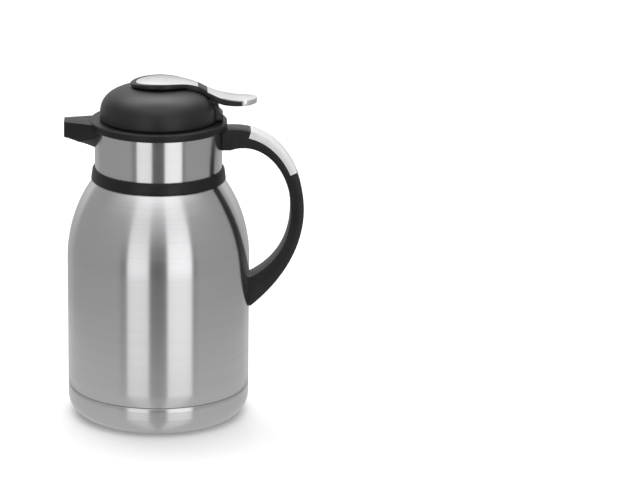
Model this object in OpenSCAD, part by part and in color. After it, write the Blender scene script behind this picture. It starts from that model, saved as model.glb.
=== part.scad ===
// Vacuum-insulated serving pot with a screw-in stopper and a thumb lever that opens a pour valve.
// The base stands on z = 0, the spout points to -X and the handle to +X.

/* [Vessel] */
// Outer radius of the body
body_r = 72; // [62:0.5:86]
// Height of the top of the straight wall
wall_top = 128; // [108:1:154]
// Height of the shoulder above the straight wall
shoulder_h = 64.5; // [55:0.5:76]
// Radius of the shoulder where the neck ring covers it
shoulder_top_r = 51; // [50.6:0.1:54]
// Height of the seam between the shell and its base cup
seam_z = 25; // [21:0.5:30]
// Radius of the rounded bottom edge
base_round = 16; // [12:0.5:19]
// Width of the flat ring that the pot stands on
foot_w = 5; // [3:0.5:7]
// Depth of the hollow under the base
base_recess = 3.2; // [2.6:0.1:4]
// Thickness of the base pad
pad_t = 2; // [1.2:0.1:2.4]
// Wall of the outer shell
shell_t = 0.6; // [0.5:0.05:0.8]
// Wall of the liner
liner_t = 0.5; // [0.4:0.05:0.7]
// Vacuum gap between the liner and the shell
vacuum_gap = 5; // [4:0.2:6]

/* [Neck] */
// Inner radius of the liner's mouth
mouth_r = 38; // [36.5:0.1:38.4]
// Height of the welded lip above the shoulder
lip_h = 12.4; // [11.5:0.1:15]
// Vacuum gap in the neck
neck_gap = 3.6; // [3:0.1:3.9]
// Thickness of the mouth gasket
mouth_gasket_t = 1.6; // [1.2:0.1:2]
// Height of the neck ring
ring_h = 9; // [8:0.5:12]
// Outer radius of the steel collar band
band_r = 50; // [49.6:0.1:50.6]
// Wall of the collar band
band_t = 0.7; // [0.5:0.05:0.9]
// Radius of the flange under the lid
flange_r = 53.7; // [52:0.1:58]
// Height of the flange
flange_h = 6; // [5:0.1:7.2]
// Height of the collar from the welded lip to the flange's top
collar_h = 35.1; // [34.5:0.1:42]

/* [Spout] */
// Reach of the spout from the pot's axis
spout_reach = 73.7; // [66:0.5:88]
// Half the width of the spout at its tip
spout_tip_w = 8; // [6.7:0.1:9.6]
// Depth of the spout at its tip
spout_tip_h = 12; // [10:0.1:13.5]
// Half the width of the spout where it leaves the flange
spout_root_w = 16.5; // [14:0.1:19]
// Wall of the spout
spout_t = 1.8; // [1.4:0.1:2.2]

/* [Stopper] */
// Depth of the stopper below the flange's top
stopper_depth = 54; // [50:0.5:64]
// Wall of the stopper
stopper_t = 2.2; // [1.8:0.1:2.6]
// Rise of the stopper in one turn
thread_lead = 22; // [18:1:26]
// Radius of the valve's opening
valve_r = 12; // [10:0.5:14]
// Radius of the valve stem
stem_r = 3; // [2.5:0.1:3.4]
// Wire diameter of the valve spring
spring_wire = 1.4; // [1:0.1:1.6]

/* [Lid] */
// Outer radius of the dome
dome_r = 46; // [45.4:0.1:46.6]
// Height of the dome's upright wall
dome_wall_h = 1; // [0.6:0.1:2]
// Height of the dome's curve above its upright wall
dome_rise = 25.6; // [25:0.1:28]
// Wall of the dome
dome_t = 2.2; // [1.8:0.1:2.6]
// Half the width of the rib down the back of the dome
rib_w = 9.5; // [8.8:0.1:10.5]

/* [Lever] */
// Half the width of the lever's disc
disc_w = 19; // [17:0.5:21]
// Half the width of the lever's neck
neck_w = 8.2; // [7.4:0.1:8.4]
// Half the width of the thumb tab
tab_w = 11.7; // [10:0.1:14]
// Distance of the thumb tab's end from the pot's axis
tab_reach = 77; // [72:0.5:86]
// Thickness of the bright plates
plate_t = 0.9; // [0.6:0.1:1.1]
// Radius of the lever's hinge pin
pin_r = 1.5; // [1.2:0.1:1.7]

/* [Handle] */
// Reach of the handle beyond the body
handle_reach = 42.5; // [38:0.5:51]
// Width of the handle
handle_w = 20; // [17:0.5:24]
// Thickness of the grip at its widest reach
grip_t = 10.3; // [9.5:0.1:13]
// Height of the lowest point of the handle's foot
foot_z = 89.5; // [76:0.5:100]
// Height of the foot where it meets the body
handle_foot_h = 24; // [21:0.5:28]
// Wall of the handle's shell
handle_t = 2.6; // [2.2:0.1:3]

/* [Hidden] */

$fn = 96;
eps = 0.01;
// Gap between pieces that sit in one another without moving
fit = 0.15;
// Gap between pieces that move past one another
run = 0.4;
// Radial clearance of a pin or rod in its bore
bore_gap = 0.06;
// Steps along each drawn curve
curve_n = 20;

// Vessel
neck_z = wall_top + shoulder_h;
lip_z = neck_z + lip_h;
neck_r = mouth_r + liner_t + neck_gap + shell_t;
neck_rise = 6;
foot_r = body_r - base_round;
recess_r = foot_r - foot_w;
floor_z = base_recess + shell_t + vacuum_gap + 1;
dimple_r = 5;
dimple_h = 1.4;
getter_r = 5;
getter_h = 2.4;
shoulder_rho = ((body_r - shoulder_top_r) ^ 2 + shoulder_h ^ 2) / (2 * (body_r - shoulder_top_r));
shoulder_angle = asin(shoulder_h / shoulder_rho);
inner_gap = shell_t + vacuum_gap;

// Collar
flange_top = lip_z + collar_h;
flange_z = flange_top - flange_h;
bore_r = mouth_r + 3.5;
shelf_r = mouth_r + 0.5;
shelf_z = lip_z + mouth_gasket_t;
shelf_h = 2.3;
shelf_top = shelf_z + shelf_h;
skirt_z = neck_z + neck_rise + 1.5;
skirt_r = band_r - band_t - fit;
edge = 0.8;

// Spout
spout_top = flange_top - 1.4;
spout_root_z = flange_z - 17;
spout_root_x = 49;

// Stopper
deck_z = flange_top + 0.6;
deck_t = 2.8;
deck_top = deck_z + deck_t;
stopper_r = mouth_r - 1;
thread_root_r = bore_r - 2.1;
thread_depth = 1.5;
thread_z = shelf_top + 3.1;
thread_starts = 4;
thread_sweep = 78;
thread_pitch = thread_lead / thread_starts;
ridge_root = min(2.2, thread_pitch * 0.42);
ridge_crest = ridge_root - 0.8;
body_shoulder = shelf_top + 2;
chamber_r = stopper_r - stopper_t;
stopper_foot = flange_top - stopper_depth;
base_h = 6;
tube_z = stopper_foot + base_h;
upper_r = bore_r - 1.1;
o_ring_z = flange_top - 3.2;
o_ring_r = 1.2;
groove_r = bore_r - 2 * o_ring_r - 0.3;
window_w = 9;
window_z = flange_z - 11.5;
window_h = 11;
seat_h = 1.6;
seat_z = stopper_foot + 2.4 + seat_h;
seal_r = valve_r + 3.5;
seal_t = 1.8;
carrier_t = 2.7;
hub_r = stem_r + 1.8;
carrier_z = seat_z + seal_t;
spring_z = carrier_z + carrier_t;
guide_r = stem_r + 4;
guide_z = deck_z - 8.4;
guide_top = deck_top + 6.6;
spring_r = stem_r + 3.3;
spring_turns = 9;
stem_seal_h = 3;
retainer_h = 2.6;
screw_count = 3;
screw_r = 1.3;
screw_head_r = 3;
screw_head_h = 1.8;
screw_ring = chamber_r - screw_head_r - 1.8;
boss_r = 3.6;

// Lid and lever. The lever's curves are measured from the pivot.
dome_z = deck_z;
crown_z = dome_z + dome_wall_h + dome_rise;
dome_power = 2.85;
pivot_x = 35.5;
pivot_z = crown_z - 10.6;
knuckle_r = 4.2;
knuckle_w = 5;
lever_z = crown_z + 0.5;
link_z = pivot_z + 5.5;
link_r = 1;
ear_in = 2.9;
ear_out = 5.4;
press = 12;

// Handle
handle_x = body_r + handle_reach;
handle_mid = foot_z + 78.5;
handle_top = flange_z - 0.5;
root_h = 16.5;
lug_w = 6;
lug_x = 64;
inlay_from = 0.13;
inlay_to = 0.69;
inlay_side = 5.4;
cover_w = handle_w / 2 - handle_t;
hook_z = foot_z + handle_foot_h * 0.52;

// ---------- helpers ----------

function bezier(a, b, c, d, t0 = 0, t1 = 1) = [
    for (i = [0 : curve_n])
        let (t = t0 + (t1 - t0) * i / curve_n, s = 1 - t)
        s ^ 3 * a + 3 * s * s * t * b + 3 * s * t * t * c + t ^ 3 * d
];

function unit(v) = v / norm(v);

// The path moved sideways by d, to the right of its direction.
function beside(path, d) = [
    for (i = [0 : len(path) - 1])
        let (v = unit(path[min(i + 1, len(path) - 1)] - path[max(i - 1, 0)]))
        path[i] + d * [v[1], -v[0]]
];

function reversed(list) = [for (i = [len(list) - 1 : -1 : 0]) list[i]];

function tail(list) = [for (i = [1 : len(list) - 1]) list[i]];

function mirrored(half) = concat(half, [for (p = reversed(half)) [p[0], -p[1]]]);

// An upright slab w wide across Y, whose outline is given in X and Z.
module slab(outline, w) {
    rotate([90, 0, 0]) linear_extrude(w, center = true) polygon(outline);
}

module tube(r_out, r_in, z, h) {
    translate([0, 0, z]) difference() {
        cylinder(r = r_out, h = h);
        translate([0, 0, -eps]) cylinder(r = r_in, h = h + 2 * eps);
    }
}

module cross_pin(r, x, z, w) {
    translate([x, 0, z]) rotate([90, 0, 0]) cylinder(r = r, h = w, center = true);
}

// One thread ridge: a trapezoid swept along a helix, from radius r_in to r_out.
module ridge(r_in, r_out, w_in, w_out, z, start) {
    n = 13;
    corners = [[r_in, -w_in / 2], [r_out, -w_out / 2], [r_out, w_out / 2], [r_in, w_in / 2]];
    points = [
        for (i = [0 : n])
            let (a = thread_sweep * i / n)
            for (c = corners)
                [c[0] * cos(start + a), c[0] * sin(start + a), z + c[1] + thread_lead * a / 360]
    ];
    sides = [
        for (i = [0 : n - 1])
            for (k = [0 : 3])
                let (p = 4 * i + k, q = 4 * i + (k + 1) % 4)
                for (face = [[p, q, q + 4], [p, q + 4, p + 4]])
                    face
    ];
    ends = [[0, 2, 1], [0, 3, 2], [4 * n, 4 * n + 1, 4 * n + 2], [4 * n, 4 * n + 2, 4 * n + 3]];
    polyhedron(points, concat(sides, ends));
}

module thread(r_in, r_out, w_in, w_out, z) {
    for (k = [0 : thread_starts - 1])
        ridge(r_in, r_out, w_in, w_out, z, 360 * k / thread_starts);
}

module coil(r, wire, z, length, turns) {
    steps = 16;
    sides = 6;
    n = steps * turns;
    rise = length - wire;
    points = [
        for (i = [0 : n])
            let (a = 360 * i / steps, c = z + wire / 2 + rise * i / n)
            for (k = [0 : sides - 1])
                let (b = 360 * k / sides, q = r + wire / 2 * cos(b))
                [q * cos(a), q * sin(a), c + wire / 2 * sin(b)]
    ];
    skin = [
        for (i = [0 : n - 1])
            for (k = [0 : sides - 1])
                let (p = sides * i + k, q = sides * i + (k + 1) % sides)
                for (face = [[p, q, q + sides], [p, q + sides, p + sides]])
                    face
    ];
    first = [for (k = [1 : sides - 2]) [0, k + 1, k]];
    last = [for (k = [1 : sides - 2]) [sides * n, sides * n + k, sides * n + k + 1]];
    polyhedron(points, concat(skin, first, last));
}

// ---------- vessel ----------

// The arc of the shoulder, moved inwards by d.
function shoulder(d) = [
    for (i = [0 : curve_n])
        let (a = shoulder_angle * i / curve_n, rho = shoulder_rho - d)
        [body_r - shoulder_rho + rho * cos(a), wall_top + rho * sin(a)]
];

function neck(r, top, d) = [
    [r + 2, neck_z + neck_rise * 0.6 - d],
    [r, neck_z + neck_rise - d],
    [r, top]
];

module outer_shell() {
    outside = concat([[body_r, seam_z]], shoulder(0), neck(neck_r, lip_z - liner_t, 0));
    inside = concat([[body_r - shell_t, seam_z]], shoulder(shell_t),
        neck(neck_r - shell_t, lip_z - liner_t, shell_t));
    color("silver") rotate_extrude() polygon(concat(outside, reversed(inside)));
}

function cup_outline(d) = concat(
    [[body_r - d, seam_z]],
    [
        for (i = [0 : curve_n])
            let (a = 90 * i / curve_n, r = base_round - d)
            [foot_r + r * cos(a), base_round - r * sin(a)]
    ],
    [
        [recess_r + d * 0.4, d],
        [recess_r - 1.5, base_recess + d],
        [dimple_r + 1 - d, base_recess + d],
        [dimple_r - d, base_recess + dimple_h + d],
        [0, base_recess + dimple_h + d]
    ]
);

module base_cup() {
    color("silver") rotate_extrude()
        polygon(concat(cup_outline(0), reversed(cup_outline(shell_t))));
}

module base_pad() {
    color("dimgray") translate([0, 0, base_recess - pad_t])
        cylinder(r = recess_r - 3.5, h = pad_t);
}

module vacuum_seal() {
    color("gray") translate([0, 0, base_recess]) cylinder(r = dimple_r - 0.8, h = dimple_h);
}

function liner_outline(d) = concat(
    [[0, floor_z + d]],
    [
        for (i = [0 : curve_n])
            let (a = 90 * i / curve_n, r = base_round - d)
            [body_r - inner_gap - base_round + r * sin(a), floor_z + base_round - r * cos(a)]
    ],
    shoulder(inner_gap + d),
    neck(mouth_r + liner_t - d, lip_z - (d > 0 ? 0 : liner_t), inner_gap + d)
);

module liner() {
    lip = [[neck_r, lip_z - liner_t], [neck_r, lip_z]];
    color("gainsboro") rotate_extrude()
        polygon(concat(liner_outline(0), lip, reversed(liner_outline(liner_t))));
}

module getter() {
    color("dimgray") translate([dimple_r * 4, 0, floor_z - getter_h])
        cylinder(r = getter_r, h = getter_h);
}

// ---------- collar and spout ----------

module neck_ring() {
    z = neck_z - 0.5;
    outline = [
        [shoulder_top_r + 0.8, z],
        [shoulder_top_r + 1.5, z],
        [shoulder_top_r + 2, z + 0.5],
        [band_r + 1.9, z + ring_h - 0.5],
        [band_r + 1.4, z + ring_h],
        [band_r + fit, z + ring_h],
        [band_r + fit, z + 3.6]
    ];
    color("#202022") rotate_extrude() polygon(outline);
}

module collar_band() {
    z = neck_z + 3.5;
    color("silver") difference() {
        tube(band_r, band_r - band_t, z, flange_z - fit - z);
        spout_solid(fit);
        lug(fit);
    }
}

// The spout as it looks from the side, from above and from the front, moved out by d.
function spout_side(d) = concat(
    [[-bore_r + d, spout_top + d], [-spout_reach - d, spout_top + 0.6 + d]],
    bezier(
        [-spout_reach - d, spout_top + 0.6 - spout_tip_h - d],
        [-spout_reach + 8, spout_top - spout_tip_h - 0.8 - d],
        [-spout_reach + 16, spout_top - spout_tip_h - 3 - d],
        [-spout_root_x, spout_root_z - d]
    ),
    [[-bore_r + d, spout_root_z - d]]
);

function spout_plan(d) = mirrored([
    [-spout_reach - d, spout_tip_w + d],
    [-spout_root_x - 1, spout_root_w + d],
    [-spout_root_x + 6, spout_root_w + 8 + d],
    [-bore_r + 12, spout_root_w + 8 + d]
]);

function spout_front(d) = mirrored([
    [spout_root_z - d, 2 + d],
    [flange_z - 1, spout_root_w + 7 + d],
    [flange_top, spout_root_w + 7 + d]
]);

module spout_solid(d) {
    intersection() {
        slab(spout_side(d), 4 * spout_root_w);
        translate([0, 0, spout_root_z - 5]) linear_extrude(60) polygon(spout_plan(d));
        translate([-2 * spout_reach, 0, 0]) rotate([90, 0, 90])
            linear_extrude(2 * spout_reach)
                polygon([for (p = spout_front(d)) [p[1], p[0]]]);
    }
}

// The passage through the spout, from the collar's bore to the tip.
module spout_channel() {
    floor_tip = spout_top + 0.6 - spout_tip_h + spout_t;
    side = [
        [-bore_r + 3, window_z], [-bore_r + 3, window_z + window_h + 1],
        [-bore_r - 3, spout_top - spout_t], [-spout_reach - 1, spout_top + 0.6 - spout_t],
        [-spout_reach - 1, floor_tip], [-spout_root_x - 12, floor_tip - 1.2],
        [-spout_root_x, window_z + 0.6]
    ];
    plan = mirrored([
        [-spout_reach - 1, spout_tip_w - spout_t],
        [-spout_root_x - 3, spout_root_w * 0.72 - spout_t],
        [-bore_r + 3, window_w]
    ]);
    intersection() {
        slab(side, 4 * spout_root_w);
        translate([0, 0, spout_root_z]) linear_extrude(60) polygon(plan);
    }
}

// The tongue that carries the handle's root.
module lug(d) {
    h = root_h - 2 * handle_t - 4;
    translate([skirt_r - 1.5 - d, -lug_w - d, handle_top - handle_t - h - 0.3 - d])
        cube([lug_x - skirt_r + 1.5 + 2 * d, 2 * (lug_w + d), h + 2 * d]);
}

module pour_collar() {
    wall = [
        [neck_r + fit, skirt_z], [skirt_r, skirt_z], [skirt_r, flange_z],
        [flange_r - edge, flange_z], [flange_r, flange_z + edge],
        [flange_r, flange_top - edge], [flange_r - edge, flange_top],
        [bore_r + 0.8, flange_top], [bore_r, flange_top - edge], [bore_r, shelf_top],
        [shelf_r, shelf_top], [shelf_r, shelf_z], [neck_r + fit, shelf_z]
    ];
    color("#202022") difference() {
        union() {
            rotate_extrude() polygon(wall);
            difference() {
                union() {
                    spout_solid(0);
                    lug(0);
                }
                cylinder(r = skirt_r - 1, h = 2 * flange_top);
            }
            thread(thread_root_r + 0.5, bore_r + 0.5, ridge_crest, ridge_root,
                thread_z + thread_pitch / 2);
        }
        spout_channel();
        for (x = screw_places)
            translate([x, 0, 0]) cylinder(r = screw_r + bore_gap, h = handle_top - handle_t - 2);
    }
}

module mouth_gasket() {
    color("gainsboro") tube(neck_r - 0.3, shelf_r, lip_z, mouth_gasket_t);
}

// ---------- handle ----------

screw_places = [55, 61];

function grip_outer(t0 = 0, t1 = 1) = bezier(
    [skirt_r + 11, handle_top],
    [handle_x - 22.5, handle_top],
    [handle_x, handle_mid + 36],
    [handle_x, handle_mid],
    t0, t1
);

function grip_lower() = bezier(
    [handle_x, handle_mid],
    [handle_x, handle_mid - 30],
    [body_r + handle_reach * 0.61, foot_z + 20.5],
    [body_r + 1, foot_z]
);

function grip_inner() = bezier(
    [band_r + 6, handle_top - root_h],
    [body_r + 10, handle_top - 7.5],
    [handle_x - grip_t, handle_mid + 32],
    [handle_x - grip_t, handle_mid]
);

function grip_inner_lower() = bezier(
    [handle_x - grip_t, handle_mid],
    [handle_x - grip_t, handle_mid - 22],
    [body_r + handle_reach * 0.57, foot_z + handle_foot_h + 12.5],
    [body_r + 1, foot_z + handle_foot_h]
);

function outer_edge() = concat(grip_outer(), tail(grip_lower()));

function inner_edge() = concat(grip_inner(), tail(grip_inner_lower()));

function handle_outline() = concat(
    [[band_r - 2, handle_top]], outer_edge(), [[body_r - 3, foot_z]],
    [[body_r - 3, foot_z + handle_foot_h]], reversed(inner_edge()),
    [[band_r - 2, handle_top - root_h]]
);

// The hollow between the grip's walls, closed on the finger side by the cover.
function hollow_outline() = concat(
    [[band_r - 2, handle_top - handle_t]], beside(outer_edge(), handle_t),
    reversed(inner_edge()), [[band_r - 2, handle_top - root_h]]
);

module handle_clear() {
    cylinder(r = band_r + fit, h = 2 * flange_top);
    cylinder(r = body_r + fit, h = wall_top);
}

// The strip along the outside of the grip that the bright plate covers.
function inlay_strip(d0, d1) = let (c = grip_outer(inlay_from, inlay_to))
    concat(beside(c, d0), reversed(beside(c, d1)));

module inlay(d) {
    difference() {
        slab(inlay_strip(-0.2, inlay_side + d), handle_w);
        slab(inlay_strip(plate_t + d, inlay_side + 4), handle_w - 2 * (plate_t + d));
    }
}

module handle_shell() {
    color("#202022") difference() {
        slab(handle_outline(), handle_w);
        slab(hollow_outline(), 2 * cover_w);
        handle_clear();
        slab(inlay_strip(-3, inlay_side + fit), handle_w + 1);
        hook_pocket();
    }
    color("#202022") difference() {
        slab(inlay_strip(plate_t + fit, inlay_side + fit), handle_w - 2 * (plate_t + fit));
        slab(hollow_outline(), 2 * cover_w);
    }
}

module handle_cover() {
    strip = concat([[band_r - 2, handle_top - root_h]], inner_edge());
    lining = concat(strip, reversed(beside(strip, -handle_t)));
    color("#262629") difference() {
        slab(lining, 2 * (cover_w - fit));
        handle_clear();
        hook_pocket();
        for (x = screw_places) translate([x, 0, 0]) {
            cylinder(r = screw_r + 0.3, h = 2 * flange_top);
            translate([0, 0, handle_top - root_h - 5]) cylinder(r = screw_head_r + 0.2, h = 6.4);
        }
    }
}

module handle_inlay() {
    color("silver") inlay(0);
}

module hook_pocket() {
    translate([body_r, -5 - run, hook_z - 6 - run]) cube([7 + run, 10 + 2 * run, 12 + 2 * run]);
}

module handle_hook() {
    color("silver") difference() {
        translate([body_r - 2, -5, hook_z - 6]) cube([9, 10, 12]);
        cylinder(r = body_r + 0.02, h = wall_top);
        translate([body_r - 3, -6, hook_z - 4.4]) cube([8.8, 12, 8.8]);
    }
}

module handle_screws() {
    z = handle_top - root_h + 1.4;
    color("gray") for (x = screw_places) translate([x, 0, z - screw_head_h]) {
        cylinder(r = screw_head_r, h = screw_head_h);
        cylinder(r = screw_r, h = 11);
    }
}

// ---------- stopper ----------

module stopper_gasket() {
    color("gainsboro") tube(thread_root_r - thread_depth + 1.5, stopper_r + fit,
        shelf_top + 0.05, body_shoulder - shelf_top - 0.1);
}

module stopper_body() {
    wall = [
        [chamber_r, tube_z], [stopper_r, tube_z], [stopper_r, body_shoulder],
        [thread_root_r, body_shoulder], [thread_root_r, window_z - 2],
        [upper_r, window_z - 1], [upper_r, o_ring_z - o_ring_r - 0.1],
        [groove_r, o_ring_z - o_ring_r - 0.1], [groove_r, o_ring_z + o_ring_r + 0.1],
        [upper_r, o_ring_z + o_ring_r + 0.1], [upper_r, deck_z],
        [dome_r - dome_t - fit, deck_z], [dome_r - dome_t - fit, deck_top],
        [guide_r, deck_top], [guide_r, guide_top], [stem_r + bore_gap, guide_top],
        [stem_r + bore_gap, guide_z], [guide_r, guide_z], [guide_r, deck_z], [chamber_r, deck_z]
    ];
    color("#303033") difference() {
        union() {
            rotate_extrude() polygon(wall);
            thread(thread_root_r - 0.5, thread_root_r + thread_depth, ridge_root, ridge_crest,
                thread_z);
        }
        translate([-bore_r, -window_w, window_z]) cube([bore_r - chamber_r + 6, 2 * window_w, window_h]);
        at_screws() translate([0, 0, deck_z - 1]) cylinder(r = screw_r + 0.4, h = deck_t + 2);
    }
}

module at_screws() {
    for (k = [0 : screw_count - 1])
        rotate(60 + 360 * k / screw_count) translate([screw_ring, 0, 0]) children();
}

module stopper_base() {
    outline = [
        [valve_r, stopper_foot], [stopper_r - 1, stopper_foot], [stopper_r, stopper_foot + 1],
        [stopper_r, tube_z - 0.05], [chamber_r - fit, tube_z - 0.05],
        [chamber_r - fit, tube_z + 3], [chamber_r - fit - 1.8, tube_z + 3],
        [chamber_r - fit - 1.8, seat_z - seat_h], [valve_r + 2, seat_z - seat_h],
        [valve_r + 1.5, seat_z], [valve_r + 0.5, seat_z], [valve_r, seat_z - 0.5]
    ];
    color("#303033") rotate_extrude() polygon(outline);
}

module stopper_o_ring() {
    color("gainsboro") translate([0, 0, o_ring_z]) rotate_extrude()
        translate([bore_r - o_ring_r - 0.1, 0]) circle(r = o_ring_r, $fn = 24);
}

module stem_seal() {
    color("gainsboro") tube(guide_r - 0.6, stem_r + bore_gap, guide_top, stem_seal_h);
}

// ---------- lid ----------

// A rounded-square arc of radius r and rise b above height z, between two angles.
function full_arc(r, b, z, from, to) = [
    for (i = [0 : curve_n])
        let (a = from + (to - from) * i / curve_n, k = 2 / dome_power)
        [r * max(cos(a), 0) ^ k, z + b * sin(a) ^ k]
];

// The dome's curve, from its foot up to the crown, moved inwards by d.
function dome_path(d) = concat(
    [[dome_r - d, dome_z]],
    full_arc(dome_r - d, dome_rise - d, dome_z + dome_wall_h, 0, 90)
);

module dome_solid(d) {
    rotate_extrude() polygon(concat(dome_path(d), [[0, dome_z]]));
}

// The underside of the lever, from the disc's end to the tab's end.
function lever_under() = concat(
    [[-21.5, lever_z]],
    bezier([18, lever_z], [30, lever_z - 1.5], [38, lever_z - 11.5], [52, lever_z - 14.1]),
    tail(bezier([52, lever_z - 14.1], [60, lever_z - 15.3],
        [tab_reach - 8, lever_z - 14.8], [tab_reach, lever_z - 13.5]))
);

function lever_top() = concat(
    bezier([-22, lever_z + 1.4], [-10, lever_z + 4.3], [22, lever_z + 5.2], [34, lever_z - 1.4]),
    tail(bezier([34, lever_z - 1.4], [42, lever_z - 5.8],
        [54, lever_z - 12], [tab_reach, lever_z - 9.6]))
);

// Everything that the lever's neck sweeps, for cutting the dome and its rib.
module lever_way() {
    high = crown_z + 30;
    lowered = [for (p = lever_under()) p - [0, run]];
    w = 2 * (rib_w + 1);
    slab(concat([[-30, high]], [[-30, lowered[0][1]]], lowered, [[tab_reach, high]]), w);
    translate([pivot_x, 0, pivot_z]) rotate([0, press, 0]) translate([-pivot_x, 0, -pivot_z])
        slab(concat([[pivot_x, high]], [for (p = lowered) if (p[0] > pivot_x) p],
            [[tab_reach, high]]), w + 4);
}

module rib() {
    back = dome_r + 1.7;
    rise = dome_rise + 1.4;
    z = dome_z + dome_wall_h;
    arc = full_arc(back, rise, z, 7, asin(((crown_z - 0.4 - z) / rise) ^ (dome_power / 2)));
    outline = concat(
        [[dome_r - dome_t, dome_z], [dome_r + 4.4, dome_z], [dome_r + 4.4, dome_z + 4.2],
            [back + 0.4, dome_z + 6.4]],
        arc,
        [[22, crown_z - 0.4], [22, crown_z - dome_t], [dome_r - dome_t - 14, crown_z - dome_t - 6]]
    );
    difference() {
        slab(outline, 2 * rib_w);
        dome_solid(dome_t);
    }
}

module cheeks() {
    intersection() {
        translate([pivot_x - 8, -rib_w, pivot_z - 5.2]) cube([16, 2 * rib_w, 20]);
        dome_solid(0.5);
    }
}

module knuckle_pocket() {
    w = 2 * (knuckle_w + run);
    cross_pin(knuckle_r + 0.6, pivot_x, pivot_z, w);
    translate([pivot_x - knuckle_r - 2.4, -w / 2, pivot_z])
        cube([2 * knuckle_r + 4.8, w, 20]);
}

module lid_dome() {
    color("#202022") difference() {
        union() {
            difference() {
                dome_solid(0);
                difference() {
                    dome_solid(dome_t);
                    cheeks();
                    at_screws() translate([0, 0, deck_top + 0.2]) cylinder(r = boss_r, h = 40);
                }
                translate([0, 0, dome_z - 1]) cylinder(r = dome_r - dome_t, h = 1 + eps);
            }
            rib();
        }
        lever_way();
        knuckle_pocket();
        cross_pin(pin_r + bore_gap / 2, pivot_x, pivot_z, 2 * rib_w - 1.2);
        translate([-6.5, -ear_out - 1, crown_z - dome_t - 1]) cube([15, 2 * ear_out + 2, dome_t + 2]);
        at_screws() translate([0, 0, deck_top]) cylinder(r = screw_r + bore_gap, h = 8);
    }
}

module lid_insulation() {
    h = 7.4;
    color("white") difference() {
        tube(dome_r - dome_t - 3, guide_r + 0.5, deck_top, h);
        at_screws() translate([0, 0, deck_top - 1]) cylinder(r = boss_r + 0.3, h = h + 2);
    }
}

module lid_screws() {
    color("gray") at_screws() translate([0, 0, deck_z - screw_head_h]) {
        cylinder(r = screw_head_r, h = screw_head_h);
        cylinder(r = screw_r, h = screw_head_h + deck_t + 6);
    }
}

module lever_pin() {
    color("silver") cross_pin(pin_r, pivot_x, pivot_z, 2 * rib_w - 1.4);
}

// ---------- lever ----------

function lever_plan() = mirrored(concat(
    bezier([-22, 0], [-22, disc_w * 0.56], [-12, disc_w], [1, disc_w]),
    tail(bezier([1, disc_w], [14, disc_w], [20, neck_w], [33, neck_w])),
    tail(bezier([33, neck_w], [41, neck_w], [44, tab_w], [54, tab_w])),
    tail(bezier([tab_reach - 11, tab_w], [tab_reach - 5, tab_w - 1.4],
        [tab_reach, tab_w * 0.55], [tab_reach, 0]))
));

function disc_plan(d) = mirrored(concat(
    bezier([-17.5 - d, 0], [-17.5 - d, disc_w * 0.5], [-9, disc_w - 2.6 + d],
        [3, disc_w - 2.6 + d]),
    tail(bezier([3, disc_w - 2.6 + d], [14, disc_w - 2.6 + d],
        [20, neck_w - 0.9 + d], [30.7 + d, neck_w - 0.9 + d]))
));

module upright(outline) {
    translate([0, 0, crown_z - 40]) linear_extrude(80) polygon(outline);
}

// The lever's layer between depths d0 and d1 under its top face.
module layer(d0, d1) {
    slab(concat([for (p = lever_top()) p - [0, d0]],
        [for (p = reversed(lever_top())) p - [0, d1]]), 3 * disc_w);
}

module lever_blank() {
    intersection() {
        slab(concat(lever_under(), reversed(lever_top())), 3 * disc_w);
        upright(lever_plan());
    }
}

module tab_region(x, d) {
    translate([x - d, -2 * disc_w, crown_z - 40]) cube([tab_reach, 4 * disc_w, 80]);
}

module thumb_skirt(d) {
    difference() {
        tab_region(tab_reach - 12, d);
        upright([for (p = lever_plan()) p - [plate_t + d, 0]]);
    }
}

module ears() {
    translate([0, 0, -0.5])
        for (side = [-1, 1])
            translate([-5, side * (ear_in + ear_out) / 2 - (ear_out - ear_in) / 2, link_z - 3.5])
                cube([9.5, ear_out - ear_in, lever_z - link_z + 4.8]);
}

module lever_core() {
    color("#202022") difference() {
        union() {
            difference() {
                lever_blank();
                intersection() {
                    layer(-1, plate_t);
                    tab_region(38, fit);
                }
                thumb_skirt(0);
                intersection() {
                    layer(-1, plate_t);
                    upright(disc_plan(fit));
                }
            }
            ears();
            intersection() {
                union() {
                    cross_pin(knuckle_r, pivot_x, pivot_z, 2 * knuckle_w);
                    translate([pivot_x - knuckle_r, -knuckle_w, pivot_z])
                        cube([2 * knuckle_r, 2 * knuckle_w, 8]);
                }
                slab(concat([[0, crown_z - 40]], [[90, crown_z - 40]],
                    [for (p = reversed(lever_top())) p - [0, 2]]), 40);
            }
        }
        cross_pin(pin_r + bore_gap, pivot_x, pivot_z, 4 * knuckle_w);
        for (x = [-2.3, 0.3]) cross_pin(link_r + 0.3, x, link_z - 0.15, 4 * ear_out);
        translate([-2.3, -2 * ear_out, link_z - 0.15 - link_r - 0.3])
            cube([2.6, 4 * ear_out, 2 * link_r + 0.6]);
    }
}

module lever_disc_plate() {
    color("silver") intersection() {
        lever_blank();
        layer(0, plate_t);
        upright(disc_plan(0));
    }
}

module lever_thumb_plate() {
    color("silver") intersection() {
        lever_blank();
        union() {
            intersection() {
                layer(-1, plate_t);
                tab_region(38, 0);
            }
            thumb_skirt(0);
        }
    }
}

// ---------- valve ----------

module valve_stem() {
    top = link_z + 2.6;
    foot = seat_z - retainer_h - 0.4;
    color("gray") difference() {
        union() {
            translate([0, 0, foot])
                cylinder(r = stem_r, h = link_z - 4.4 - foot);
            translate([-2.4, -ear_in + 0.3, link_z - 6]) cube([4.8, 2 * ear_in - 0.6, top - link_z + 6]);
        }
        cross_pin(link_r, 0, link_z, 20);
    }
}

module stem_pin() {
    color("silver") cross_pin(link_r - 0.01, 0, link_z, 2 * ear_out - 0.2);
}

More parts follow.
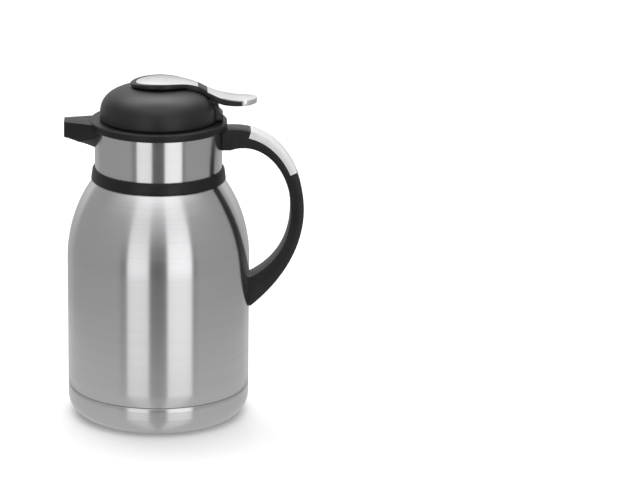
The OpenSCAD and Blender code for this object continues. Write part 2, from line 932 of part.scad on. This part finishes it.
module valve_carrier() {
    color("#303033") difference() {
        union() {
            translate([0, 0, carrier_z]) cylinder(r = seal_r - 0.5, h = carrier_t);
            translate([0, 0, carrier_z]) cylinder(r = hub_r, h = carrier_t + 4);
        }
        translate([0, 0, seat_z]) cylinder(r = stem_r + 0.02, h = 20);
    }
}

module valve_seal() {
    color("gainsboro") tube(seal_r, stem_r + 0.02, seat_z + 0.05, seal_t - 0.1);
}

module valve_retainer() {
    color("silver") tube(hub_r + 1.4, stem_r + 0.02, seat_z - retainer_h, retainer_h - 0.05);
}

module valve_spring() {
    color("silver") coil(spring_r, spring_wire, spring_z + 0.05, guide_z - spring_z - 0.1, spring_turns);
}

outer_shell();
base_cup();
base_pad();
vacuum_seal();
liner();
getter();
neck_ring();
collar_band();
pour_collar();
mouth_gasket();
handle_shell();
handle_cover();
handle_inlay();
handle_hook();
handle_screws();
stopper_gasket();
stopper_body();
stopper_base();
stopper_o_ring();
lid_dome();
lid_insulation();
lid_screws();
stem_seal();
lever_pin();
valve_spring();
lever_core();
lever_disc_plate();
lever_thumb_plate();
valve_stem();
stem_pin();
valve_carrier();
valve_seal();
valve_retainer();
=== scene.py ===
import math

import bmesh
import bpy
from mathutils import Matrix, Vector


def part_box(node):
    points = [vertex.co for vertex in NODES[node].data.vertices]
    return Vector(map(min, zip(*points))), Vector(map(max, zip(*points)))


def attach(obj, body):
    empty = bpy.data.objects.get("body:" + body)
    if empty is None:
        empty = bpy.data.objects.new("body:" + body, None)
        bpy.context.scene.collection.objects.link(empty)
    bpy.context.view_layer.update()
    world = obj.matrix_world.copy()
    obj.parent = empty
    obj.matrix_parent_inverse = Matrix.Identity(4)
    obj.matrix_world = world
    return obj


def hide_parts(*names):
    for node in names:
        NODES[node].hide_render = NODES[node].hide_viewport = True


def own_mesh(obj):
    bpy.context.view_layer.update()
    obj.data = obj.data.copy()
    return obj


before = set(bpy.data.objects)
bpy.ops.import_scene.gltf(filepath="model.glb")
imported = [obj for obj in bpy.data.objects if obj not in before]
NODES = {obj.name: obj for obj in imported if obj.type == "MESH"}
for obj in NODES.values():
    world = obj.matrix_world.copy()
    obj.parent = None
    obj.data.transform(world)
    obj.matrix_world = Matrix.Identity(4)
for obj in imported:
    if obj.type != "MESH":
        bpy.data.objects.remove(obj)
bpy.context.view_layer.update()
MM = 0.001


# ---------------------------------------------------------------- camera

CAMERA_ANGLES = (3.2914, 16.467, 0.934)     # yaw, pitch down and roll, in degrees
CAMERA_PLACE = (0, -2.2, 0.79)
LENS = 163.62


def make_camera():
    yaw, pitch, roll = (math.radians(a) for a in CAMERA_ANGLES)
    ahead = Vector((math.sin(yaw), math.cos(yaw), 0))
    right = Vector((math.cos(yaw), -math.sin(yaw), 0))
    up = Vector((0, 0, 1)) * math.cos(pitch) + ahead * math.sin(pitch)
    ahead = ahead * math.cos(pitch) - Vector((0, 0, 1)) * math.sin(pitch)
    x = right * math.cos(roll) + up * math.sin(roll)
    y = up * math.cos(roll) - right * math.sin(roll)
    data = bpy.data.cameras.new("camera")
    data.sensor_fit = "HORIZONTAL"
    data.sensor_width = 36
    data.lens = LENS
    data.clip_end = 50
    cam = bpy.data.objects.new("camera", data)
    bpy.context.scene.collection.objects.link(cam)
    turn = Matrix((x, y, -ahead)).transposed().to_4x4()
    cam.matrix_world = Matrix.Translation(CAMERA_PLACE) @ turn
    bpy.context.scene.camera = cam


make_camera()


# ---------------------------------------------------------------- materials

NOISE_LOW, NOISE_HIGH = 0.3, 0.7            # where most of a noise texture's values lie


def new_material(name):
    mat = bpy.data.materials.new(name)
    mat.use_nodes = True
    tree = mat.node_tree
    return mat, tree, tree.nodes["Principled BSDF"]


def texture(tree, scale, detail=2.0, stretch=(1, 1, 1)):
    coords = tree.nodes.new("ShaderNodeTexCoord")
    mapping = tree.nodes.new("ShaderNodeMapping")
    mapping.inputs["Scale"].default_value = stretch
    tex = tree.nodes.new("ShaderNodeTexNoise")
    tex.inputs["Scale"].default_value = scale
    tex.inputs["Detail"].default_value = detail
    tree.links.new(coords.outputs["Object"], mapping.inputs["Vector"])
    tree.links.new(mapping.outputs["Vector"], tex.inputs["Vector"])
    return tex.outputs[0]


def remap(tree, value, low, high):
    node = tree.nodes.new("ShaderNodeMapRange")
    node.inputs["From Min"].default_value = NOISE_LOW
    node.inputs["From Max"].default_value = NOISE_HIGH
    node.inputs["To Min"].default_value = low
    node.inputs["To Max"].default_value = high
    tree.links.new(value, node.inputs["Value"])
    return node.outputs["Result"]


def mix_colours(tree, value, a, b):
    ramp = tree.nodes.new("ShaderNodeValToRGB")
    ramp.color_ramp.elements[0].position = NOISE_LOW
    ramp.color_ramp.elements[1].position = NOISE_HIGH
    ramp.color_ramp.elements[0].color = (*a, 1)
    ramp.color_ramp.elements[1].color = (*b, 1)
    tree.links.new(value, ramp.inputs["Fac"])
    return ramp.outputs["Color"]


def bump(tree, bsdf, height, strength, distance):
    node = tree.nodes.new("ShaderNodeBump")
    node.inputs["Strength"].default_value = strength
    node.inputs["Distance"].default_value = distance
    tree.links.new(height, node.inputs["Height"])
    tree.links.new(node.outputs["Normal"], bsdf.inputs["Normal"])


def brushed_steel(name, light, dark, rough, anisotropy, turned=True, grain=1.0,
                  stretch=(4, 4, 2400)):
    """Steel with a fine grain. The grain runs round Z, or along the stretch's small axes."""
    mat, tree, bsdf = new_material(name)
    bsdf.inputs["Metallic"].default_value = 1.0
    lines = texture(tree, 1.0, 4.0, stretch)
    broad = texture(tree, 1.0, 2.0, (stretch[0] * 2, stretch[1] * 2, stretch[2] / 12))
    tree.links.new(mix_colours(tree, lines, dark, light), bsdf.inputs["Base Color"])
    tree.links.new(remap(tree, broad, rough - 0.012, rough + 0.012), bsdf.inputs["Roughness"])
    bump(tree, bsdf, lines, 0.12 * grain, 0.0002)
    bsdf.inputs["Anisotropic"].default_value = anisotropy
    if turned:
        tangent = tree.nodes.new("ShaderNodeTangent")
        tangent.direction_type = "RADIAL"
        tangent.axis = "Z"
        tree.links.new(tangent.outputs["Tangent"], bsdf.inputs["Tangent"])
        bsdf.inputs["Anisotropic Rotation"].default_value = 0.25
    return mat


def plastic(name, light, dark, rough, grain_mm=0.35, strength=0.25, specular=0.5):
    """Moulded plastic, rubber or foam, with a fine grain and slow changes of colour and gloss."""
    mat, tree, bsdf = new_material(name)
    grain = texture(tree, 1.0 / (grain_mm * MM), 3.0)
    cloud = texture(tree, 28.0, 3.0)
    tree.links.new(mix_colours(tree, cloud, dark, light), bsdf.inputs["Base Color"])
    tree.links.new(remap(tree, cloud, rough - 0.04, rough + 0.05), bsdf.inputs["Roughness"])
    bump(tree, bsdf, grain, strength, 0.00006)
    bsdf.inputs["IOR"].default_value = 1.49
    bsdf.inputs["Specular IOR Level"].default_value = specular
    return mat


BODY_STEEL = brushed_steel("body_steel", (0.640, 0.640, 0.650), (0.592, 0.592, 0.602), 0.225, 0.95,
                           grain=0.3)
COLLAR_STEEL = brushed_steel("collar_steel", (0.645, 0.645, 0.655), (0.600, 0.600, 0.610), 0.2, 0.95,
                             grain=0.25)
SATIN_PLATE = brushed_steel("satin_plate", (0.84, 0.84, 0.85), (0.80, 0.80, 0.81), 0.3, 0.2,
                            turned=False, stretch=(60, 2400, 60), grain=0.25)
INLAY_PLATE = brushed_steel("inlay_plate", (0.84, 0.84, 0.85), (0.78, 0.78, 0.79), 0.36, 0.2,
                            turned=False, stretch=(60, 2400, 60), grain=0.25)
INLAY_PLATE.node_tree.nodes["Principled BSDF"].inputs["Metallic"].default_value = 0.5
PLAIN_STEEL = brushed_steel("plain_steel", (0.66, 0.66, 0.66), (0.5, 0.5, 0.5), 0.3, 0.2,
                            turned=False, stretch=(300, 300, 300), grain=0.5)
LINER_STEEL = brushed_steel("liner_steel", (0.72, 0.72, 0.72), (0.62, 0.62, 0.62), 0.22, 0.4)
DULL_METAL = plastic("dull_metal", (0.3, 0.29, 0.28), (0.16, 0.155, 0.15), 0.6, 0.5, 0.5)
DULL_METAL.node_tree.nodes["Principled BSDF"].inputs["Metallic"].default_value = 1.0
# Dark grey painted on the faces of the seam groove: painted shade for the gap between the shell and the
# base.
SEAM_PAINTED_SHADE = plastic("seam_painted_shade", (0.21, 0.21, 0.21), (0.15, 0.15, 0.15), 0.6)
DOME_BLACK = plastic("dome_black", (0.0085, 0.0085, 0.0095), (0.0060, 0.0060, 0.0068), 0.43)
COLLAR_BLACK = plastic("collar_black", (0.0060, 0.0060, 0.0068), (0.0042, 0.0042, 0.0048), 0.40,
                       specular=0.36)
HANDLE_BLACK = plastic("handle_black", (0.0068, 0.0068, 0.0076), (0.0048, 0.0048, 0.0054), 0.38,
                       specular=0.4)
COVER_BLACK = plastic("cover_black", (0.035, 0.035, 0.038), (0.022, 0.022, 0.024), 0.5, 0.6, 0.35)
STOPPER_BLACK = plastic("stopper_black", (0.03, 0.03, 0.032), (0.018, 0.018, 0.02), 0.36)
PAD_RUBBER = plastic("pad_rubber", (0.06, 0.06, 0.06), (0.03, 0.03, 0.03), 0.75, 0.7, 0.5)
SILICONE = plastic("silicone", (0.78, 0.77, 0.74), (0.66, 0.65, 0.62), 0.42, 0.5, 0.2)
FOAM = plastic("foam", (0.88, 0.88, 0.86), (0.74, 0.74, 0.72), 0.9, 1.6, 0.8)

LOOKS = {
    "outer_shell": BODY_STEEL, "base_cup": BODY_STEEL, "collar_band": COLLAR_STEEL,
    "base_pad": PAD_RUBBER, "vacuum_seal": DULL_METAL, "liner": LINER_STEEL, "getter": DULL_METAL,
    "neck_ring": COLLAR_BLACK, "pour_collar": COLLAR_BLACK, "mouth_gasket": SILICONE,
    "handle_shell": HANDLE_BLACK, "handle_cover": COVER_BLACK, "handle_inlay": INLAY_PLATE,
    "handle_hook": PLAIN_STEEL, "handle_screws": PLAIN_STEEL, "stopper_gasket": SILICONE,
    "stopper_body": STOPPER_BLACK, "stopper_base": STOPPER_BLACK, "stopper_o_ring": SILICONE,
    "lid_dome": DOME_BLACK, "lid_insulation": FOAM, "lid_screws": PLAIN_STEEL,
    "stem_seal": SILICONE, "lever_pin": PLAIN_STEEL, "valve_spring": PLAIN_STEEL,
    "lever_core": DOME_BLACK, "lever_disc_plate": SATIN_PLATE, "lever_thumb_plate": SATIN_PLATE,
    "valve_stem": PLAIN_STEEL, "stem_pin": PLAIN_STEEL, "valve_carrier": STOPPER_BLACK,
    "valve_seal": SILICONE, "valve_retainer": PLAIN_STEEL,
}

# Radius of the rounded edges in mm, on the pieces that show. The others keep sharp edges.
EDGE_RADIUS = {
    "handle_shell": 0.7, "handle_cover": 0.5, "handle_inlay": 0.3, "pour_collar": 0.5, "neck_ring": 0.5,
    "lid_dome": 0.5, "lever_core": 0.6, "lever_disc_plate": 0.3, "lever_thumb_plate": 0.3,
}
EDGE_ANGLE = math.radians(32)               # a fold sharper than this is an edge
WELD_GAP = 0.00001

for name, node in NODES.items():
    node.data.materials.clear()
    node.data.materials.append(LOOKS[name])
    for polygon in node.data.polygons:
        polygon.use_smooth = True
    weld = node.modifiers.new("weld", "WELD")
    weld.merge_threshold = WELD_GAP
    if name in EDGE_RADIUS:
        bevel = node.modifiers.new("rounded_edges", "BEVEL")
        bevel.width = EDGE_RADIUS[name] * MM
        bevel.segments = 3
        bevel.limit_method = "ANGLE"
        bevel.angle_limit = EDGE_ANGLE
        bevel.harden_normals = True
    else:
        split = node.modifiers.new("sharp_edges", "EDGE_SPLIT")
        split.split_angle = EDGE_ANGLE


# ---------------------------------------------------------------- mesh helpers

def finish_mesh(name, bm, material, body, replaced):
    mesh = bpy.data.meshes.new(name)
    bmesh.ops.recalc_face_normals(bm, faces=bm.faces)
    bm.to_mesh(mesh)
    bm.free()
    piece = bpy.data.objects.new(name, mesh)
    bpy.context.scene.collection.objects.link(piece)
    mesh.materials.append(material)
    for polygon in mesh.polygons:
        polygon.use_smooth = True
    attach(piece, body)
    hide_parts(replaced)
    return piece


def fillet(outline, steps=6):
    """An outline of (r, z, radius) corners, in mm, with each corner rounded by its radius."""
    points = []
    count = len(outline)
    for i, (x, y, radius) in enumerate(outline):
        here = Vector((x, y))
        before = Vector(outline[i - 1][:2])
        after = Vector(outline[(i + 1) % count][:2])
        u, v = (before - here), (after - here)
        reach = min(radius / math.tan(max(u.angle(v), 0.05) / 2), u.length * 0.49, v.length * 0.49)
        a, b = here + u.normalized() * reach, here + v.normalized() * reach
        for k in range(steps + 1):
            t = k / steps
            points.append(a * (1 - t) ** 2 + here * 2 * t * (1 - t) + b * t * t)
    return points


def lathe(name, outline, material, body, replaced, turns=256):
    """A closed outline of (r, z) points in mm, turned round Z. Its first steps get the seam groove's
    painted shade.
    """
    bm = bmesh.new()
    rings = []
    for r, z in outline:
        if r < 1e-6:
            rings.append([bm.verts.new((0, 0, z * MM))])
        else:
            rings.append([
                bm.verts.new((r * MM * math.cos(2 * math.pi * k / turns),
                              r * MM * math.sin(2 * math.pi * k / turns), z * MM))
                for k in range(turns)])
    for i, ring in enumerate(rings):
        other = rings[(i + 1) % len(rings)]
        if len(ring) == 1 and len(other) == 1:
            continue
        for k in range(turns):
            n = (k + 1) % turns
            if len(ring) == 1:
                face = bm.faces.new((ring[0], other[k], other[n]))
            elif len(other) == 1:
                face = bm.faces.new((ring[k], other[0], ring[n]))
            else:
                face = bm.faces.new((ring[k], other[k], other[n], ring[n]))
            # faces of the first steps take the second material, the painted shade of the seam groove
            face.material_index = 1 if i < SEAM_STEPS else 0
    piece = finish_mesh(name, bm, material, body, replaced)
    piece.data.materials.append(SEAM_PAINTED_SHADE)
    return piece


# ---------------------------------------------------------------- body

SHELL_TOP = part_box("outer_shell")[1].z / MM
BODY_R = 72.0
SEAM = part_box("base_cup")[1].z / MM
WALL_TOP, SHOULDER_H, SHOULDER_TOP_R = 128.0, 64.5, 51.0
NECK_Z = WALL_TOP + SHOULDER_H
NECK_R = 42.7
NECK_RISE, NECK_SLOPE_H, NECK_SLOPE_W = 6, 3.6, 2       # the curve from the shoulder to the neck
RHO = ((BODY_R - SHOULDER_TOP_R) ** 2 + SHOULDER_H ** 2) / (2 * (BODY_R - SHOULDER_TOP_R))
SHOULDER_ANGLE = math.asin(SHOULDER_H / RHO)
SHELL_T = 0.6
BASE_ROUND = 16
FOOT_R = BODY_R - BASE_ROUND
RECESS_EDGE_R, RECESS_R, RECESS_H = 51, 49.5, 3.2       # the hollow under the base
DIMPLE_EDGE_R, DIMPLE_R, DIMPLE_H = 6, 5, 1.4           # the dimple that holds the vacuum seal
# The rolled lip beside the seam, as (depth below the wall, distance from the seam)
SEAM_LIP = [(0.5, 0.1), (0.45, 0.22), (0.08, 0.25)]
SEAM_END = 0.32
SEAM_STEPS = len(SEAM_LIP)


def shoulder(inward, steps=64):
    for i in range(steps + 1):
        a = SHOULDER_ANGLE * i / steps
        yield (BODY_R - RHO + (RHO - inward) * math.cos(a), WALL_TOP + (RHO - inward) * math.sin(a))


def seam_lip(side):
    """The lip above the seam, where side is 1, or below it, where side is -1."""
    return [(BODY_R - depth, SEAM + side * rise) for depth, rise in SEAM_LIP]


def cup(d):
    """The profile of the base, moved inwards by d."""
    rounding = BASE_ROUND - d
    wall = [(BODY_R - d, SEAM - SEAM_END), (BODY_R - d, SEAM - 4), (BODY_R - d, BASE_ROUND)]
    curve = [(FOOT_R + rounding * math.cos(math.radians(a)),
              BASE_ROUND - rounding * math.sin(math.radians(a))) for a in range(3, 91, 3)]
    dimple_z = RECESS_H + DIMPLE_H + d
    under = fillet([(RECESS_EDGE_R + d * 0.4, d, 0.8), (RECESS_R, RECESS_H + d, 0.8),
                    (DIMPLE_EDGE_R - d, RECESS_H + d, 0.6), (DIMPLE_R - d, dimple_z, 0.6)])
    return wall + curve + [tuple(p) for p in under] + [(0, dimple_z)]


def make_body():
    slope_r, slope_z = NECK_R + NECK_SLOPE_W, NECK_Z + NECK_SLOPE_H
    wall_steps = 10
    outside = seam_lip(1) + [(BODY_R, SEAM + SEAM_END)]
    outside += [(BODY_R, SEAM + (WALL_TOP - SEAM) * k / wall_steps) for k in range(1, wall_steps)]
    outside += list(shoulder(0))
    outside += [(slope_r, slope_z), (NECK_R, NECK_Z + NECK_RISE), (NECK_R, SHELL_TOP)]
    inside = [(NECK_R - SHELL_T, SHELL_TOP), (NECK_R - SHELL_T, NECK_Z + NECK_RISE - SHELL_T),
              (slope_r - SHELL_T, slope_z - SHELL_T)]
    inside += list(shoulder(SHELL_T))[::-1] + [(BODY_R - SHELL_T, SEAM + SEAM_LIP[0][1])]
    shell = lathe("body_shell", outside + inside, BODY_STEEL, "pot", "outer_shell")
    shell.visible_glossy = False        # so that the collar's reflections run down to the neck ring

    outline = seam_lip(-1) + cup(0) + cup(SHELL_T)[::-1] + [(BODY_R - SHELL_T, SEAM - SEAM_LIP[0][1])]
    lathe("base_shell", outline, BODY_STEEL, "pot", "base_cup")


make_body()


# ---------------------------------------------------------------- valve spring

SPRING_WIRE = 1.4
SPRING_TURNS = 9


def make_spring():
    """An even coil, as long and as wide as the CAD spring."""
    low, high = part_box("valve_spring")
    length = (high.z - low.z) / MM
    radius = high.x / MM - SPRING_WIRE / 2
    steps, sides = 36, 12
    count = steps * SPRING_TURNS
    bm = bmesh.new()
    rings = []
    for i in range(count + 1):
        turn = 2 * math.pi * i / steps
        centre = low.z / MM + SPRING_WIRE / 2 + (length - SPRING_WIRE) * i / count
        ring = []
        for k in range(sides):
            around_wire = 2 * math.pi * k / sides
            r = radius + SPRING_WIRE / 2 * math.cos(around_wire)
            ring.append(bm.verts.new((r * math.cos(turn) * MM, r * math.sin(turn) * MM,
                                      (centre + SPRING_WIRE / 2 * math.sin(around_wire)) * MM)))
        rings.append(ring)
    for ring, other in zip(rings, rings[1:]):
        for k in range(sides):
            n = (k + 1) % sides
            bm.faces.new((ring[k], ring[n], other[n], other[k]))
    bm.faces.new(rings[0][::-1])
    bm.faces.new(rings[-1])
    spring = finish_mesh("coil_spring", bm, PLAIN_STEEL, "lid", "valve_spring")
    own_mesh(spring)


make_spring()


# ---------------------------------------------------------------- stage

BRIGHTEST = 6.0                              # a colour ramp holds 0 to 1, so it holds shares of this


def mixed(tree, factor, a, b):
    node = tree.nodes.new("ShaderNodeMix")
    node.data_type = "FLOAT"
    tree.links.new(factor, node.inputs["Factor"])
    tree.links.new(a, node.inputs["A"])
    tree.links.new(b, node.inputs["B"])
    return node.outputs["Result"]


def around(tree, bearing, stops):
    """Brightness by bearing in degrees, from -180 to 180, straight lines between the stops."""
    ramp = tree.nodes.new("ShaderNodeValToRGB")
    stops = sorted(stops)
    elements = ramp.color_ramp.elements
    while len(elements) < len(stops):
        elements.new(0.5)
    for element, (angle, value) in zip(elements, stops):
        element.position = (angle + 180) / 360
        share = value / BRIGHTEST
        element.color = (share, share, share, 1)
    tree.links.new(bearing, ramp.inputs["Fac"])
    return ramp.outputs["Color"]


def rise(tree, height, low, high):
    """0 below the low elevation and 1 above the high one, in degrees above the horizon."""
    node = tree.nodes.new("ShaderNodeMapRange")
    node.interpolation_type = "SMOOTHSTEP"
    node.inputs["From Min"].default_value = math.sin(math.radians(low))
    node.inputs["From Max"].default_value = math.sin(math.radians(high))
    tree.links.new(height, node.inputs["Value"])
    return node.outputs["Result"]


def math_node(tree, operation, a, b):
    node = tree.nodes.new("ShaderNodeMath")
    node.operation = operation
    for socket, value in zip(node.inputs, (a, b)):
        if isinstance(value, (int, float)):
            socket.default_value = value
        else:
            tree.links.new(value, socket)
    return node.outputs[0]


def studio(strips, gap, side, beside, back, back_gap):
    """Two soft strips in front, a dark gap between them, plain sides and a pale back."""
    left, right = strips
    return [
        (-180, back_gap), (-171, back_gap), (-168, back), (-142, back), (-132, side),
        (-51, side), (-46.5, beside), (-40.5, beside), (-38.5, left * 0.96), (-28, left),
        (-13.5, left * 0.94), (-10.5, gap), (0, gap * 0.85), (9.5, gap), (12.5, right * 0.94),
        (27, right), (41.5, right * 0.97), (43.5, beside), (46, beside), (51, side),
        (132, side), (142, back), (168, back), (171, back_gap), (180, back_gap),
    ]


# The studio from below the horizon to overhead. Each band fades in between its two elevations.
LOWEST_BAND = studio((0.76, 0.88), gap=0.24, side=0.43, beside=0.43, back=0.50, back_gap=0.30)
BANDS = [
    (-19, -13, studio((1.62, 1.80), gap=0.06, side=0.42, beside=0.14, back=0.50, back_gap=0.40)),
    (-9, 6, studio((1.15, 1.45), gap=0.26, side=0.44, beside=0.40, back=0.78, back_gap=0.75)),
    (12, 30, studio((0.98, 1.15), gap=0.70, side=0.46, beside=0.60, back=0.82, back_gap=0.82)),
    (42, 57, [(-180, 5.6), (-140, 4.6), (-100, 1.7), (-60, 1.6), (0, 1.8), (60, 1.6), (100, 1.7),
              (140, 4.4), (180, 5.6)]),
    (70, 82, [(-180, 1.3), (180, 1.3)]),
]


def make_world():
    """Light by bearing from the front and by elevation, in place of lamps and cards."""
    world = bpy.data.worlds.new("studio")
    bpy.context.scene.world = world
    world.use_nodes = True
    tree = world.node_tree
    coords = tree.nodes.new("ShaderNodeTexCoord")
    parts = tree.nodes.new("ShaderNodeSeparateXYZ")
    tree.links.new(coords.outputs["Generated"], parts.inputs["Vector"])
    across, along, height = parts.outputs
    bearing = math_node(tree, "ARCTAN2", across, math_node(tree, "MULTIPLY", along, -1.0))
    bearing = math_node(tree, "ADD", math_node(tree, "DIVIDE", bearing, 2 * math.pi), 0.5)
    light = around(tree, bearing, LOWEST_BAND)
    for low, high, stops in BANDS:
        light = mixed(tree, rise(tree, height, low, high), light, around(tree, bearing, stops))
    background = tree.nodes["Background"]
    tree.links.new(math_node(tree, "MULTIPLY", light, BRIGHTEST), background.inputs["Color"])
    background.inputs["Strength"].default_value = 1.0


FLOOR_REACH = 14
CARD_R = 0.30
CARD_DROP = 0.0004
CARD_GLOW, CARD_COVER = 0.8, 0.5


def stage_piece(name, bm, material):
    mesh = bpy.data.meshes.new(name)
    bm.to_mesh(mesh)
    bm.free()
    mesh.materials.append(material)
    piece = bpy.data.objects.new(name, mesh)
    bpy.context.scene.collection.objects.link(piece)
    return piece


def make_floor():
    material, tree, bsdf = new_material("floor_white")
    cloud = texture(tree, 0.8, 2.0)
    tree.links.new(mix_colours(tree, cloud, (0.90, 0.90, 0.90), (0.93, 0.93, 0.93)),
                   bsdf.inputs["Base Color"])
    bsdf.inputs["Roughness"].default_value = 0.7
    bm = bmesh.new()
    bmesh.ops.create_grid(bm, x_segments=8, y_segments=8, size=FLOOR_REACH)
    floor = stage_piece("floor", bm, material)
    floor.visible_glossy = False


def make_bounce_card():
    """A half-clear glowing disc just under the floor, which only the pot's reflections see."""
    material = bpy.data.materials.new("bounce_card")
    material.use_nodes = True
    tree = material.node_tree
    tree.nodes.clear()
    out = tree.nodes.new("ShaderNodeOutputMaterial")
    mix = tree.nodes.new("ShaderNodeMixShader")
    clear = tree.nodes.new("ShaderNodeBsdfTransparent")
    glow = tree.nodes.new("ShaderNodeEmission")
    glow.inputs["Strength"].default_value = CARD_GLOW
    mix.inputs["Fac"].default_value = CARD_COVER
    tree.links.new(clear.outputs[0], mix.inputs[1])
    tree.links.new(glow.outputs[0], mix.inputs[2])
    tree.links.new(mix.outputs[0], out.inputs["Surface"])
    bm = bmesh.new()
    bmesh.ops.create_circle(bm, cap_ends=True, segments=64, radius=CARD_R)
    card = stage_piece("bounce_card", bm, material)
    card.location.z = -CARD_DROP
    card.visible_camera = False
    card.visible_diffuse = False
    card.visible_shadow = False


make_floor()
make_bounce_card()
make_world()
bpy.context.scene.view_settings.view_transform = "Standard"
